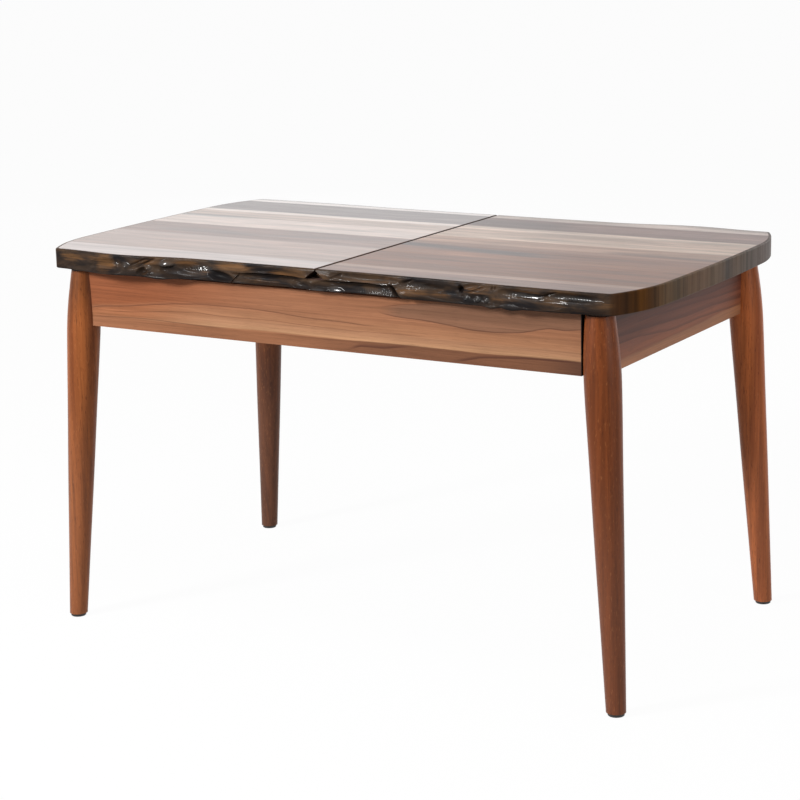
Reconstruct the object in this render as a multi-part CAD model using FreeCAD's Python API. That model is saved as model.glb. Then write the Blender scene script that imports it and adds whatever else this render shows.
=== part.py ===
import FreeCAD
import Part

import math
import os

# Extending kitchen table: a split live-edge top on four turned legs, with a loose leaf stored under the seam.
# Millimetres, +Z up, origin on the floor under the middle of the table, front towards -Y.

# Overall sizes
table_length = 1274.0
table_depth = 716.0
table_height = 750.0

# Top
board_thickness = 18.0
rim_height = 20.0
rim_width = 44.0
end_rim_width = 62.0
corner_radius = 300.0
corner_reach = 140.0
nose_radius = 12.0
end_bow = 4.0
seam_gap = 3.0
seam_lip = 3.0
seam_bevel_share = 1.3
edge_wander = 10.0
edge_bulge = 9.0
edge_ease = 2.0

# Front live edge from left to right, as shares of the wander and of the bulge
# The back edge is the front one turned round
wander_shares = [0, 0.5, 1.2, 0.7, -0.4, -0.8, -0.8, -0.9, -0.8, -0.8, -0.8, -0.7, -0.6, -0.3, 0, 0.1, 0.2, 0]
bulge_shares = [0, 0.6, 1, 0.4, 0.9, 0.5, 0.8, 0.3, 0.7, 1, 0.5, 0.9, 0.4, 1, 0.6, 0.9, 0.4, 0]

# Gouged hollows in the live edge: place along the half length, half length of the hollow, level up the edge
scoop_length = 90.0
scoop_radius = 20.0
scoop_depth = 5.0
scoop_place_shares = [-0.74, -0.42, -0.14, 0.05, 0.4, 0.72]
scoop_length_shares = [0.9, 0.9, 1, 0.7, 0.9, 1]
scoop_level_shares = [0.48, 0.42, 0.56, 0.24, 0.5, 0.48]

# Leaf
leaf_top_width = 332.0
leaf_thickness = 18.0
leaf_gap = 1.0
bevel_share = 1.0

# Legs
leg_inset_x = 83.5
leg_inset_y = 39.5
foot_inset_x = 40.5
foot_inset_y = 12.5
knee_radius = 33.0
frame_clearance = 6.0
glide_height = 6.0
glide_radius = 15.0
glide_edge = 1.0

# Leg profile from the floor upwards: shares of the leg length and of the knee radius
leg_station_shares = [-0.03, 0, 0.21, 0.42, 0.64, 0.8, 0.85, 0.92, 1, 1.03]
leg_radius_shares = [0.515, 0.535, 0.657, 0.783, 0.893, 0.98, 0.99, 0.93, 0.78, 0.72]

# Aprons
apron_height = 107.5
apron_thickness = 18.0
end_apron_setout = 8.5
long_apron_setout = 15.0
apron_tenon = 14.0
front_apron_stop = 27.0
front_apron_tongue = 9.0

# Corner hardware
bracket_thickness = 2.5
bracket_height = 46.0
bracket_drop = 34.0
bracket_reach = 92.0
bracket_tab = 30.0
bolt_radius = 4.0
bolt_tail = 11.0
bolt_clearance = 0.2
nut_width = 13.0
nut_height = 6.5

# Slides
rail_y = 238.0
rail_wall = 5.0
rail_floor = 4.0
rail_lip = 5.0
rail_drop = 2.0
runner_base_width = 25.0
runner_base_height = 11.0
runner_neck_width = 12.0
runner_block_width = 40.0
runner_inner_gap = 8.0
runner_block_gap = 10.0
slide_clearance = 0.5
brace_width = 48.0
brace_height = 26.0

# Leaf bearers and rest pads
bearer_width = 40.0
bearer_inset = 62.0
pad_radius = 8.0
pad_y = 150.0
pad_gap = 0.4

# Levels
board_bottom = table_height - board_thickness
rim_bottom = board_bottom - rim_height
frame_top = rim_bottom - frame_clearance
apron_bottom = frame_top - apron_height
leaf_top = board_bottom - leaf_gap
leaf_bottom = leaf_top - leaf_thickness
rail_top = frame_top - rail_drop
base_top = rail_top - rail_lip - slide_clearance
base_bottom = base_top - runner_base_height
rail_bottom = base_bottom - slide_clearance - rail_floor
block_bottom = rail_top + slide_clearance
bracket_top = frame_top - bracket_drop
bracket_bottom = bracket_top - bracket_height
bolt_level = (bracket_top + bracket_bottom) / 2

# Plan positions
half_length = table_length / 2
half_depth = table_depth / 2
leg_top_x = half_length - leg_inset_x
leg_top_y = half_depth - leg_inset_y
foot_x = half_length - foot_inset_x
foot_y = half_depth - foot_inset_y
end_run = half_depth - corner_reach
end_radius = (end_run ** 2 + end_bow ** 2) / (2 * end_bow)
end_angle = math.asin(end_run / end_radius)
corner_x = half_length - end_radius + (end_radius - corner_radius) * math.cos(end_angle)
corner_y = (end_radius - corner_radius) * math.sin(end_angle)
nose_y = half_depth - nose_radius
nose_angle = math.asin((nose_y - corner_y) / (corner_radius - nose_radius))
nose_x = corner_x + (corner_radius - nose_radius) * math.cos(nose_angle)
end_rim_start = half_length - end_rim_width
rim_inner_y = half_depth - rim_width
leaf_half = leaf_top_width / 2
travel = leaf_half
bearer_x = leaf_half - bearer_inset
apron_face_x = leg_top_x + end_apron_setout
apron_face_y = leg_top_y + long_apron_setout
apron_inner_x = apron_face_x - apron_thickness
apron_inner_y = apron_face_y - apron_thickness
apron_end_x = leg_top_x - apron_tenon
apron_end_y = leg_top_y - apron_tenon
runner_end = apron_inner_x - travel - slide_clearance

# Signs along X and Y
sides = {"left": -1, "right": 1}
rows = {"front": -1, "back": 1}


def vec(x, y, z):
    return FreeCAD.Vector(x, y, z)


def box(x0, x1, y0, y1, z0, z1):
    return Part.makeBox(x1 - x0, y1 - y0, z1 - z0, vec(x0, y0, z0))


def strip(side, near, far, y0, y1, z0, z1):
    # Box on the left (-1) or right (1) of the middle, between two distances from it
    ends = sorted((side * near, side * far))
    return box(ends[0], ends[1], y0, y1, z0, z1)


def prism(points, along):
    return Part.Face(Part.makePolygon(points + points[:1])).extrude(along)


def across(profile):
    # Solid of an x and z profile, run across the whole depth with room to spare
    points = [vec(x, -table_depth, z) for x, z in profile]
    return prism(points, vec(0, 2 * table_depth, 0))


def spline(points):
    curve = Part.BSplineCurve()
    curve.interpolate(points)
    return curve.toShape()


def live_edge(turn, z, bulge, ease):
    # Front edge (1), or the same edge turned round to the back (-1)
    last = len(wander_shares) - 1
    points = []
    for index, share in enumerate(wander_shares):
        out = half_depth - ease + edge_wander * share + bulge * bulge_shares[index]
        along = nose_x * (2 * index / last - 1)
        points.append(vec(turn * along, -turn * out, z))
    return spline(points)


def bend(side, row, middle, radius, first, last, z):
    # Arc about a middle point given for the right back corner, between two angles from the X axis
    def place(angle):
        x = middle[0] + radius * math.cos(angle)
        return vec(side * x, row * (middle[1] + radius * math.sin(angle)), z)

    return Part.Arc(place(first), place((first + last) / 2), place(last)).toShape()


def rounded_end(side, z, ease):
    # Tight nose at the live edge, soft corner curve and bowed end, on the left (-1) or right (1)
    nose = (nose_x, nose_y)
    corner = (corner_x, corner_y)
    edges = []
    for row in (-1, 1):
        edges.append([
            bend(side, row, nose, nose_radius - ease, math.pi / 2, nose_angle, z),
            bend(side, row, corner, corner_radius - ease, nose_angle, end_angle, z),
        ])
    middle = (half_length - end_radius, 0)
    end = bend(side, 1, middle, end_radius - ease, -end_angle, end_angle, z)
    return edges[0] + [end] + edges[1][::-1]


def outline(z, bulge, ease):
    left = rounded_end(-1, z, ease)
    right = rounded_end(1, z, ease)
    front = live_edge(1, z, bulge, ease)
    back = live_edge(-1, z, bulge, ease)
    return Part.Wire([front] + right + [back] + left[::-1])


def edge_distance(place, level):
    # Distance of the live edge from the middle line, at shares of the half length and of the edge height
    last = len(wander_shares) - 1
    position = (place * half_length / nose_x + 1) / 2 * last
    index = int(position)
    part = position - index
    wander = wander_shares[index] * (1 - part) + wander_shares[index + 1] * part
    bulge = bulge_shares[index] * (1 - part) + bulge_shares[index + 1] * part
    return half_depth + edge_wander * wander + edge_bulge * bulge * (1 - level)


def scoop(turn, place, length_share, level):
    # Long round hollow, as a turned solid lying along the edge and sunk into it
    curve = Part.Ellipse(vec(0, 0, 0), scoop_length * length_share, scoop_radius)
    arc = curve.toShape(0, math.pi)
    closing = Part.makeLine(arc.Vertexes[-1].Point, arc.Vertexes[0].Point)
    hollow = Part.Face(Part.Wire([arc, closing])).revolve(vec(0, 0, 0), vec(1, 0, 0), 360)
    out = edge_distance(place, level) + scoop_radius - scoop_depth
    height = rim_bottom + (table_height - rim_bottom) * level
    hollow.translate(vec(turn * place * half_length, -turn * out, height))
    return hollow


def top_blank():
    # Whole top as one block: eased top edge, live edges that lean out downwards, hollows at front and back
    surface = outline(table_height, 0, edge_ease)
    shoulder = outline(table_height - edge_ease, 0, 0)
    underside = outline(rim_bottom, edge_bulge, 0)
    eased = Part.makeLoft([surface, shoulder], True, True)
    block = Part.makeLoft([shoulder, underside], True, True)
    hollows = []
    for turn in (1, -1):
        for place, length_share, level in zip(scoop_place_shares, scoop_length_shares, scoop_level_shares):
            hollows.append(scoop(turn, place, length_share, level))
    return block.fuse(eased).cut(hollows)


def seam_profile(edge, high, low, outer, lean_share):
    # Region right of an undercut edge: a short upright lip, then a bevel that opens downwards
    lip = high - seam_lip
    foot = edge + (lip - low) * lean_share
    return across([(edge, high), (edge, lip), (foot, low), (outer, low), (outer, high)])


def half_board(blank):
    region = seam_profile(seam_gap / 2, table_height, board_bottom, table_length, seam_bevel_share)
    return blank.common(region)


def leaf_board(blank):
    lip = leaf_top - seam_lip
    foot = leaf_half + (lip - leaf_bottom) * bevel_share
    right = [(leaf_half, leaf_top), (leaf_half, lip), (foot, leaf_bottom)]
    left = [(-x, z) for x, z in reversed(right)]
    return blank.common(across(right + left))


def rim_strips(blank):
    # Build-up strips under the right half of the top, ending beside the leaf
    region = seam_profile(leaf_half + leaf_gap, board_bottom, rim_bottom, end_rim_start, bevel_share)
    long_strips = blank.common(region)
    pieces = {}
    for row_name, row in rows.items():
        depth = sorted((row * rim_inner_y, row * table_depth))
        room = box(0, table_length, depth[0], depth[1], rim_bottom, board_bottom)
        pieces["rim_" + row_name] = long_strips.common(room)
    end_room = box(end_rim_start, table_length, -table_depth, table_depth, rim_bottom, board_bottom)
    pieces["rim_end"] = blank.common(end_room)
    return pieces


def runner(row):
    # Guided base and neck that slide in the rail
    middle = row * rail_y
    base_y = runner_base_width / 2
    neck_y = runner_neck_width / 2
    base = box(runner_inner_gap, runner_end, middle - base_y, middle + base_y, base_bottom, base_top)
    neck = box(runner_inner_gap, runner_end, middle - neck_y, middle + neck_y, base_top, block_bottom)
    return base.fuse(neck).removeSplitter()


def runner_block(row):
    # Block that joins the runner to the underside of the board, clear of the leaf
    middle = row * rail_y
    reach = runner_block_width / 2
    start = leaf_half + (leaf_thickness - seam_lip) * bevel_share + runner_block_gap
    return box(start, runner_end, middle - reach, middle + reach, block_bottom, board_bottom)


def rail(row):
    middle = row * rail_y
    cavity_y = runner_base_width / 2 + slide_clearance
    outer_y = cavity_y + rail_wall
    slot_y = runner_neck_width / 2 + slide_clearance
    bar = box(-apron_inner_x, apron_inner_x, middle - outer_y, middle + outer_y, rail_bottom, rail_top)
    cavity = box(-apron_inner_x, apron_inner_x, middle - cavity_y, middle + cavity_y,
                 base_bottom - slide_clearance, base_top + slide_clearance)
    slot = box(-apron_inner_x, apron_inner_x, middle - slot_y, middle + slot_y, base_top, rail_top)
    return bar.cut(cavity).cut(slot)


def turned_leg(side, row):
    # Turned profile on a leg line that leans out from the frame to the foot
    foot = vec(side * foot_x, row * foot_y, 0)
    line = vec(side * leg_top_x, row * leg_top_y, frame_top) - foot
    profile = []
    for station, share in zip(leg_station_shares, leg_radius_shares):
        profile.append(vec(knee_radius * share, 0, line.Length * station))
    low = vec(0, 0, profile[0].z)
    high = vec(0, 0, profile[-1].z)
    closing = Part.makePolygon([profile[-1], high, low, profile[0]])
    section = Part.Wire([spline(profile)] + closing.Edges)
    leg = Part.Face(section).revolve(vec(0, 0, 0), vec(0, 0, 1), 360)
    leg.Placement = FreeCAD.Placement(foot, FreeCAD.Rotation(vec(0, 0, 1), line))
    room = box(-table_length, table_length, -table_depth, table_depth, glide_height, frame_top)
    return leg.common(room)


def glide(side, row):
    middle = vec(side * foot_x, row * foot_y, 0)
    body = Part.makeCylinder(glide_radius, glide_height - glide_edge, middle + vec(0, 0, glide_edge))
    edge = Part.makeCone(glide_radius - glide_edge, glide_radius, glide_edge, middle)
    return body.fuse(edge).removeSplitter()


def corner_points(side, row, pairs, z):
    # Points given as distances inwards from the inner corner of the aprons
    return [vec(side * (apron_inner_x - u), row * (apron_inner_y - v), z) for u, v in pairs]


def bolt_line(side, row):
    # Middle of the bracket's slanting plate and the level direction from there into the leg
    middle = corner_points(side, row, [(bracket_reach / 2, bracket_reach / 2)], bolt_level)[0]
    return middle, vec(side, row, 0).normalize()


def bolt_shape(side, row, radius):
    middle, out = bolt_line(side, row)
    inside = bracket_thickness + bolt_tail
    depth = (leg_top_x - middle.x * side) * math.sqrt(2)
    return Part.makeCylinder(radius, inside + depth, middle - out * inside, out)


def bracket(side, row):
    bend = bracket_thickness * (math.sqrt(2) - 1)
    far = bracket_reach + bracket_tab
    turn = bracket_reach + bend
    outer = [(0, far), (0, bracket_reach), (bracket_reach, 0), (far, 0)]
    thick = bracket_thickness
    inner = [(far, thick), (turn, thick), (thick, turn), (thick, far)]
    points = corner_points(side, row, outer + inner, bracket_bottom)
    plate = prism(points, vec(0, 0, bracket_height))
    return plate.cut(bolt_shape(side, row, bolt_radius + bolt_clearance))


def nut(side, row):
    middle, out = bolt_line(side, row)
    across_corners = nut_width / math.sqrt(3)
    points = []
    for turn in range(6):
        angle = math.radians(60 * turn)
        points.append(vec(across_corners * math.cos(angle), across_corners * math.sin(angle), 0))
    body = prism(points, vec(0, 0, nut_height))
    start = middle - out * (bracket_thickness + nut_height)
    body.Placement = FreeCAD.Placement(start, FreeCAD.Rotation(vec(0, 0, 1), out))
    return body.cut(bolt_shape(side, row, bolt_radius + bolt_clearance))


def pad(side, row):
    middle = vec(side * (apron_inner_x + apron_thickness / 2), row * pad_y, frame_top)
    return Part.makeCylinder(pad_radius, rim_bottom - pad_gap - frame_top, middle)


parts = {}

# Frame
# The front apron's face stops short of the right leg and its tongue runs on into the leg
front_end = leg_top_x - front_apron_stop
tongue_face = apron_inner_y + front_apron_tongue
front_face = box(-apron_end_x, front_end, -apron_face_y, -apron_inner_y, apron_bottom, frame_top)
front_tongue = box(front_end, apron_end_x, -tongue_face, -apron_inner_y, apron_bottom, frame_top)
front_apron = front_face.fuse(front_tongue).removeSplitter()
back_apron = box(-apron_end_x, apron_end_x, apron_inner_y, apron_face_y, apron_bottom, frame_top)
parts["apron_front"] = front_apron
parts["apron_back"] = back_apron
for side_name, side in sides.items():
    end_apron = strip(side, apron_inner_x, apron_face_x, -apron_end_y, apron_end_y, apron_bottom, frame_top)
    parts["apron_" + side_name] = end_apron
    for row_name, row in rows.items():
        corner = row_name + "_" + side_name
        long_apron = parts["apron_" + row_name]
        hole = bolt_shape(side, row, bolt_radius + bolt_clearance)
        leg = turned_leg(side, row).cut([long_apron, end_apron, hole])
        parts["leg_" + corner] = leg
        parts["glide_" + corner] = glide(side, row)
        parts["bracket_" + corner] = bracket(side, row)
        parts["bolt_" + corner] = bolt_shape(side, row, bolt_radius)
        parts["nut_" + corner] = nut(side, row)
        parts["rest_pad_" + corner] = pad(side, row)
    bearer_y = apron_inner_y + apron_thickness / 2
    bearer = strip(side, bearer_x - bearer_width / 2, bearer_x + bearer_width / 2, -bearer_y, bearer_y,
                   frame_top, leaf_bottom)
    parts["leaf_bearer_" + side_name] = bearer
for row_name, row in rows.items():
    parts["rail_" + row_name] = rail(row)
parts["cross_brace"] = box(-brace_width / 2, brace_width / 2, -apron_inner_y, apron_inner_y,
                           rail_bottom - brace_height, rail_bottom)

# Top: the left half is the right half turned round, so its front pieces come from the back ones
blank = top_blank()
right_half = rim_strips(blank)
right_half["board"] = half_board(blank)
for row_name, row in rows.items():
    right_half["runner_" + row_name] = runner(row)
    right_half["runner_block_" + row_name] = runner_block(row)
opposite = {"front": "back", "back": "front"}
for name, shape in right_half.items():
    stem, _, place = name.rpartition("_")
    turned_name = stem + "_" + opposite[place] if place in opposite else name
    parts[name + "_right"] = shape
    parts[turned_name + "_left"] = shape.copy().rotate(vec(0, 0, 0), vec(0, 0, 1), 180)
parts["leaf"] = leaf_board(blank)

os.makedirs("parts", exist_ok=True)
for name, shape in parts.items():
    shape.exportStep("parts/" + name + ".step")
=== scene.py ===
import math

import bmesh
import bpy
import numpy as np
from mathutils import Matrix, Vector, noise
from mathutils.bvhtree import BVHTree


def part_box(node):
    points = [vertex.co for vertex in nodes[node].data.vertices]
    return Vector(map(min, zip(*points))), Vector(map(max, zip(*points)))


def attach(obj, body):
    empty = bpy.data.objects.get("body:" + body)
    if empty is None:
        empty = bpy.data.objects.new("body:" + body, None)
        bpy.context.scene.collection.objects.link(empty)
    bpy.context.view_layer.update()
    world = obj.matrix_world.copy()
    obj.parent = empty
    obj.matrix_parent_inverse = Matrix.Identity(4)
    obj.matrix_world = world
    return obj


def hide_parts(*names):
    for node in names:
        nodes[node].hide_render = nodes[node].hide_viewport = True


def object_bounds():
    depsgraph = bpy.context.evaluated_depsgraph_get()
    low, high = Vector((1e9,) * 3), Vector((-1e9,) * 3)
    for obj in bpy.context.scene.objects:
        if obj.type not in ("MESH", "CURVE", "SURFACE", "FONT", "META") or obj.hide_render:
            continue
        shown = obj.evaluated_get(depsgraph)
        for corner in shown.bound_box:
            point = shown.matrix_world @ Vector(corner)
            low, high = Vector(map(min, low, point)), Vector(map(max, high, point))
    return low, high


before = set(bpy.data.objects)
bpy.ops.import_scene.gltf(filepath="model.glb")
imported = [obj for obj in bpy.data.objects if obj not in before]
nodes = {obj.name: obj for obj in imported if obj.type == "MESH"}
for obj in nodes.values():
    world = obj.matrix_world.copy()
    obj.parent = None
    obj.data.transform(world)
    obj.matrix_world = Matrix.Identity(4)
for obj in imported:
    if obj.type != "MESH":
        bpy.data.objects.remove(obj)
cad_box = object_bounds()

# Live-edge extending table: carved top pieces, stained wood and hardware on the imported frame.
# Metres, +Z up, front towards -Y; carving and grain features are given in millimetres.

MM = 0.001

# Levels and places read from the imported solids
top_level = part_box("board_right")[1].z
board_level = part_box("board_right")[0].z
rim_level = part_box("rim_end_right")[0].z
leaf_top_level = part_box("leaf")[1].z
leaf_low_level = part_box("leaf")[0].z
seam_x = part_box("board_right")[0].x
rim_start_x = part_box("rim_front_right")[0].x
end_rim_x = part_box("rim_end_right")[0].x
end_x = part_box("rim_end_right")[1].x
rim_inner_y = -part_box("rim_front_right")[1].y
leaf_foot_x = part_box("leaf")[1].x

# Plan of the top's outline: live edge, tight nose, soft corner curve, bowed end
half_depth = 358 * MM
corner_radius = 300 * MM
corner_reach = 140 * MM
nose_radius = 12 * MM
end_bow = 4 * MM
lip_height = 3 * MM
seam_lean = 1.3
end_run = half_depth - corner_reach
end_radius = (end_run ** 2 + end_bow ** 2) / (2 * end_bow)
end_angle = math.asin(end_run / end_radius)
end_middle = (end_x - end_radius, 0.0)
corner_middle = (end_middle[0] + (end_radius - corner_radius) * math.cos(end_angle),
                 (end_radius - corner_radius) * math.sin(end_angle))
nose_y = half_depth - nose_radius
nose_angle = math.asin((nose_y - corner_middle[1]) / (corner_radius - nose_radius))
nose_middle = (corner_middle[0] + (corner_radius - nose_radius) * math.cos(nose_angle), nose_y)

# Fineness of the carved meshes, and the rounding of their edges
live_step = 1.1 * MM
nose_step = 0.8 * MM
corner_step = 2.0 * MM
end_step = 7 * MM
wall_rows = 14
round_rows = 4
edge_round = 2.6 * MM
low_round = 2.0 * MM
leaf_top_round = 0.8 * MM
leaf_low_round = 1.5 * MM
sharp_angle = math.radians(48)
weld_distance = 1e-6

# Strip along the edge of a top face, as a share of the way to its middle
board_ring = 0.008
leaf_ring = 0.004

# Rays that find a plain wall on its solid: start outside it, length, distance kept from its edges
cast_start = 60 * MM
cast_length = 120 * MM
cast_margin = 0.2 * MM
cast_top_margin = 2.2 * MM

# Where the carving and the dark stain run out, in mm
live_end = 600
carve_run_out = 20
stain_run_out = 12
top_run_out = 5
top_share = 0.2

# Form of the carving: fullness of a hollow, least depth at a nick's ends, steepness of a hatched
# field's rim, depth that counts as a full cut, height over which the underside hangs down (mm)
dome_power = 0.8
nick_end = 0.12
hatch_fill = 1.25
full_cut = 6
hang_depth = 20


# Carving of the live edge

# Hollows: place along the edge, level, half length, half height, depth, slant in degrees (mm)
HOLLOWS = [
    (-522, 721, 44, 9, 3.0, 2),
    (-426, 737, 24, 9, 2.6, 0),
    (-374, 741, 34, 5, 3.0, 17),
    (-384, 733, 26, 4, 2.6, 19),
    (-377, 722, 13, 8, 7.0, 20),
    (-345, 728, 20, 7, 3.4, -4),
    (-268, 735, 46, 9, 3.6, -4),
    (-205, 722, 32, 10, 8.5, -9),
    (-128, 740, 26, 7, 2.2, 0),
    (-95, 729.5, 90, 3.2, 7.5, 0),
    (-26, 720, 24, 8, 4.6, -4),
    (106, 741, 74, 8, 3.6, -1),
    (92, 729, 84, 3.4, 7.5, 0),
    (222, 736, 46, 8, 4.8, -4),
    (304, 737, 6, 8, 6.5, 6),
    (337, 722, 36, 9, 4.0, 0),
    (318, 741, 30, 5, 2.4, 16),
    (425, 737, 46, 8, 6.0, -3),
    (520, 739, 62, 8, 6.4, -1),
]

# Swellings that stand out, in the same terms
SWELLINGS = [
    (-439, 730, 5, 4, 2.8, 0),
    (-413, 731, 6, 4.5, 3.0, 0),
    (-366, 728, 9, 4, 4.6, 15),
    (-325, 738, 16, 8, 4.4, 4),
    (-340, 714, 50, 6, 5.0, 0),
    (-470, 716, 40, 5, 2.0, 0),
    (8, 714, 26, 4.5, 3.6, 4),
    (46, 716, 18, 5, 3.6, 0),
    (316, 723, 5, 4.5, 4.6, 0),
    (339, 722, 6, 5, 4.8, 0),
    (356, 722, 5, 4.5, 4.6, 0),
    (368, 713, 18, 6, 2.0, 0),
    (407, 714, 24, 7, 1.2, 0),
    (500, 719, 84, 8, 2.4, 0),
    (230, 720, 50, 7, 1.8, 0),
]

# Knife nicks: from place and level, to place and level, half width, depth (mm)
NICKS = [
    (-393, 728, -352, 747, 2.2, 2.8),
    (-404, 731, -372, 745, 1.8, 2.2),
    (33, 735, 58, 746, 2.2, 2.8),
    (180, 737, 210, 747, 2.4, 3.2),
    (366, 741, 368, 746, 1.8, 3.0),
    (372, 742, 374, 747, 1.8, 3.0),
    (457, 734, 492, 746, 2.4, 3.2),
    (318, 732, 352, 744, 1.8, 2.2),
    (159, 732, 179, 712, 4.6, 9.0),
]

# Chisel hatching: place and level of the middle, half length, half height, pitch, lean, depth (mm)
HATCHES = [
    (-262, 734, 40, 9, 6.0, 1.1, 2.2),
    (214, 733, 30, 7, 5.2, 0.9, 1.2),
    (270, 730, 36, 7, 4.0, 0.3, 0.7),
    (415, 733, 36, 8, 5.0, 0.9, 0.6),
    (522, 734, 50, 8, 5.4, 1.1, 0.7),
    (132, 719, 44, 8, 5.0, 0.15, 1.8),
]

# Warm patches where the dark stain is worn: place, level, half length, half height, strength
PATCHES = [
    (-545, 737, 40, 10, 0.8),
    (-464, 731, 26, 20, 1.0),
    (-495, 742, 26, 8, 0.5),
    (-364, 741, 40, 8, 0.7),
    (-374, 719, 12, 6, 0.7),
    (-286, 741, 34, 8, 0.75),
    (-246, 727, 26, 9, 0.45),
    (-182, 741, 44, 9, 0.85),
    (-62, 739, 52, 9, 0.8),
    (-110, 718, 74, 8, 0.6),
    (20, 741, 20, 8, 0.5),
    (96, 735, 70, 4, 0.3),
    (150, 744, 40, 6, 0.4),
    (206, 724, 40, 9, 0.75),
    (262, 723, 30, 8, 0.6),
    (334, 738, 40, 9, 0.7),
    (396, 727, 40, 8, 0.5),
    (438, 744, 44, 7, 0.65),
    (500, 745, 60, 5, 0.5),
    (480, 720, 90, 9, 0.4),
    (586, 726, 26, 18, 0.42),
]

# Polished spots that catch the light: place, level, half length, half height, strength
SHINES = [
    (-439, 731, 6, 4, 0.8),
    (-413, 732, 7, 5, 0.9),
    (-366, 729, 10, 5, 1.0),
    (-325, 738, 15, 6, 1.0),
    (-348, 719, 14, 3, 0.35),
    (-252, 733, 26, 8, 0.9),
    (8, 713, 16, 4, 1.0),
    (46, 717, 16, 6, 1.0),
    (112, 734, 64, 2.4, 0.5),
    (130, 719, 42, 7, 0.7),
    (214, 733, 26, 6, 0.8),
    (316, 724, 6, 5, 1.0),
    (339, 723, 7, 5, 0.9),
    (356, 723, 6, 5, 1.0),
    (428, 733, 40, 6, 1.0),
    (516, 734, 46, 6, 0.95),
    (566, 738, 8, 6, 0.3),
]

# Lumps under the edge: place, half length, drop (mm)
LUMPS = [
    (-338, 30, 3.0),
    (30, 34, 2.0),
    (368, 15, 3.2),
    (407, 22, 3.6),
    (-120, 60, 1.0),
    (230, 50, 1.5),
]

# Waves of seeded noise over the whole edge: depth, length, height (mm), seed
WAVES = [
    (0.8, 46, 10, 3.1),
    (0.25, 18, 5, 7.7),
]


def turned(x, z, spot_x, spot_z, slant):
    """Offsets along and across a feature that slants."""
    angle = math.radians(slant)
    along = (x - spot_x) * math.cos(angle) + (z - spot_z) * math.sin(angle)
    over = -(x - spot_x) * math.sin(angle) + (z - spot_z) * math.cos(angle)
    return along, over


def dome(x, z, spot):
    """Depth of one hollow or swelling."""
    place, level, length, height, depth, slant = spot
    along, over = turned(x, z, place, level, slant)
    inside = np.clip(1 - (along / length) ** 2 - (over / height) ** 2, 0, 1)
    return depth * inside ** dome_power


def nick(x, z, cut):
    """Depth of one knife nick, deepest in the middle of its length."""
    x0, z0, x1, z1, width, depth = cut
    line = np.array([x1 - x0, z1 - z0])
    share = np.clip(((x - x0) * line[0] + (z - z0) * line[1]) / (line @ line), 0, 1)
    off = np.hypot(x - x0 - share * line[0], z - z0 - share * line[1])
    taper = np.sqrt(np.clip(4 * share * (1 - share), nick_end, 1))
    return depth * taper * np.clip(1 - off / width, 0, 1)


def hatch(x, z, field):
    """Depth of one field of chisel hatching, whose grooves fade out at its rim."""
    place, level, length, height, pitch, lean, depth = field
    bowl = 1 - ((x - place) / length) ** 2 - ((z - level) / height) ** 2
    inside = np.clip(hatch_fill * bowl, 0, 1)
    phase = (x + lean * (z - level)) / pitch
    ridge = np.abs(phase - np.floor(phase) - 0.5) * 2
    return depth * inside * (1 - ridge)


def rough(x, z, length, height, seed):
    """Seeded smooth noise over the edge, from -1 to 1."""
    return np.array([noise.noise(Vector((a / length, b / height, seed))) for a, b in zip(x, z)])


def carve(x, z):
    """How far the edge is cut back, in mm, at places x along the front edge and levels z."""
    shape = x.shape
    x, z = x.ravel(), z.ravel()
    depth = np.zeros_like(x)
    for spot in HOLLOWS:
        depth += dome(x, z, spot)
    for spot in SWELLINGS:
        depth -= dome(x, z, spot)
    for cut in NICKS:
        depth += nick(x, z, cut)
    for field in HATCHES:
        depth += hatch(x, z, field)
    for most, length, height, seed in WAVES:
        depth += most * rough(x, z, length, height, seed)
    below_top = np.clip((top_level / MM - z) / top_run_out, top_share, 1)
    before_end = np.clip((live_end - np.abs(x)) / carve_run_out, 0, 1)
    return (depth * (below_top * before_end)).reshape(shape)


def spots(x, z, table):
    """Strongest of a table of soft patches at places x and levels z."""
    strength = np.zeros_like(x)
    for place, level, length, height, most in table:
        reach = ((x - place) / length) ** 2 + ((z - level) / height) ** 2
        strength = np.maximum(strength, most * np.exp(-1.2 * reach ** 1.4))
    return strength


def hang(x):
    """How far the underside of the edge hangs down at places x, in mm."""
    drop = np.zeros_like(x)
    for place, length, most in LUMPS:
        drop = np.maximum(drop, most * np.exp(-1.5 * ((x - place) / length) ** 2))
    return drop


# Carved pieces

def cad_tree(*names):
    """Search tree over the solids of these nodes."""
    points, faces = [], []
    for name in names:
        mesh = nodes[name].data
        start = len(points)
        points += [v.co.copy() for v in mesh.vertices]
        faces += [[start + i for i in p.vertices] for p in mesh.polygons]
    return BVHTree.FromPolygons(points, faces)


def span(first, last, step):
    """Even places from first to last, at most a step apart."""
    count = max(2, int(math.ceil(abs(last - first) / step)) + 1)
    return np.linspace(first, last, count)


def undercut(edge, level_list, high, lean=1.0):
    """X of an edge that drops a short lip and then leans out downwards, at each level."""
    return np.array([edge + lean * max(0.0, high - lip_height - z) for z in level_list])


def live_run(row, starts, stop):
    """Columns along the live edge in the row -1 or 1, from its start at each level to one place.
    A column is its places, one for each level, and its outward direction."""
    shares = span(0, 1, live_step / abs(stop - starts[0]))
    way = (0.0, float(row))
    return [([(x0 + (stop - x0) * s, row * half_depth) for x0 in starts], way) for s in shares]


def bend_run(row, middle, radius, first, last, step, count):
    """Columns along an arc about a middle that is given for the back right corner."""
    out = []
    for angle in span(first, last, step / radius):
        way = (math.cos(angle), row * math.sin(angle))
        place = (middle[0] + radius * way[0], row * middle[1] + radius * way[1])
        out.append(([place] * count, way))
    return out


def corner_run(row, count):
    """Columns from the end of the live edge round the nose and the corner to the bowed end."""
    nose = bend_run(row, nose_middle, nose_radius, math.pi / 2, nose_angle, nose_step, count)
    soft = bend_run(row, corner_middle, corner_radius, nose_angle, end_angle, corner_step, count)
    return nose[1:] + soft[1:]


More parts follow.
